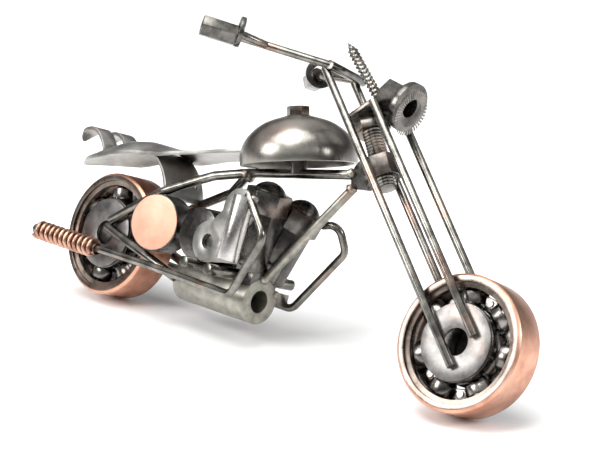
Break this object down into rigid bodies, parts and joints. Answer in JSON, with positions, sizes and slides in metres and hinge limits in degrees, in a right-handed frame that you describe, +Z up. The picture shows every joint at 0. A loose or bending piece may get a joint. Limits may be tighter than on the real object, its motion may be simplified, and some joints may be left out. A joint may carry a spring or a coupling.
{
  "type": "chopper motorcycle sculpture",
  "caption": "Small chopper motorcycle welded from ball bearings, nuts, bolts, rod and sheet, with steering front end and free-running bearing wheels.",
  "frame": {"origin": "the floor point directly under the rear axle, on the frame's middle plane", "axes": "+X forwards, +Y to the rider's left, +Z up"},
  "size_m": [0.1601, 0.0521, 0.078],
  "materials": {
    "dark_steel": "dark gunmetal plating, satin, polished on the edges",
    "bright_steel": "polished steel",
    "copper": "antique copper plating, brushed"
  },
  "bodies": {
    "frame": {"rear_inner_ring": "dark_steel", "rear_hub_washers": "dark_steel", "steering_nut": "dark_steel", "neck_gusset": "dark_steel", "backbone": "dark_steel", "right_stay": "dark_steel", "left_stay": "dark_steel", "right_lower_strut": "dark_steel", "left_lower_strut": "dark_steel", "down_tube": "dark_steel", "crankcase": "dark_steel", "right_cylinder": "dark_steel", "left_cylinder": "dark_steel", "right_cap_nut": "dark_steel", "left_cap_nut": "dark_steel", "engine_saddle": "dark_steel", "gearbox_drum": "dark_steel", "chain_plate": "dark_steel", "side_bar": "bright_steel", "derby_cap": "copper", "derby_bracket": "dark_steel", "foot_pegs": "dark_steel", "right_exhaust": "dark_steel", "muffler_core": "dark_steel", "muffler_coil": "copper", "left_exhaust": "dark_steel", "pipe_bracket": "dark_steel", "tank_dome": "dark_steel", "tank_post": "dark_steel", "filler_nut": "dark_steel", "seat_sheet": "dark_steel", "support_leaf": "dark_steel", "tail_tab_right": "dark_steel", "tail_tab_left": "dark_steel"},
    "fork": {"front_inner_ring": "dark_steel", "front_hub_washers": "dark_steel", "right_rear_fork_leg": "dark_steel", "right_front_fork_leg": "dark_steel", "left_rear_fork_leg": "dark_steel", "left_front_fork_leg": "dark_steel", "fork_plate": "dark_steel", "steering_bolt": "dark_steel", "headlight_nut": "dark_steel", "lag_screw": "dark_steel", "crossbar": "dark_steel", "right_bar": "dark_steel", "left_bar": "dark_steel", "right_grip": "dark_steel", "left_grip": "dark_steel", "ring_washers": "dark_steel", "right_lever": "dark_steel", "left_lever": "dark_steel"},
    "rear_tread": {"rear_outer_ring": "copper"},
    "rear_ball_set": {"rear_balls": "bright_steel", "rear_cage": "dark_steel", "rear_cage_rivets": "dark_steel"},
    "front_tread": {"front_outer_ring": "copper"},
    "front_ball_set": {"front_balls": "bright_steel", "front_cage": "dark_steel", "front_cage_rivets": "dark_steel"}
  },
  "joints": [
    {"name": "steering", "type": "hinge", "parent": "frame", "child": "fork", "pos_m": [0.0793, 0, 0.0566], "axis": [-0.6088, 0, 0.7934], "range_deg": [-40, 20]},
    {"name": "rear_wheel_spin", "type": "hinge", "parent": "frame", "child": "rear_tread", "pos_m": [0, 0, 0.016], "axis": [0, 1, 0], "continuous": true},
    {"name": "rear_ball_spin", "type": "hinge", "parent": "frame", "child": "rear_ball_set", "pos_m": [0, 0, 0.016], "axis": [0, 1, 0], "continuous": true},
    {"name": "front_wheel_spin", "type": "hinge", "parent": "fork", "child": "front_tread", "pos_m": [0.12189, 0.00164, 0.01638], "axis": [-0.1378, 0.9848, -0.1057], "continuous": true},
    {"name": "front_ball_spin", "type": "hinge", "parent": "fork", "child": "front_ball_set", "pos_m": [0.12189, 0.00164, 0.01638], "axis": [-0.1378, 0.9848, -0.1057], "continuous": true}
  ]
}
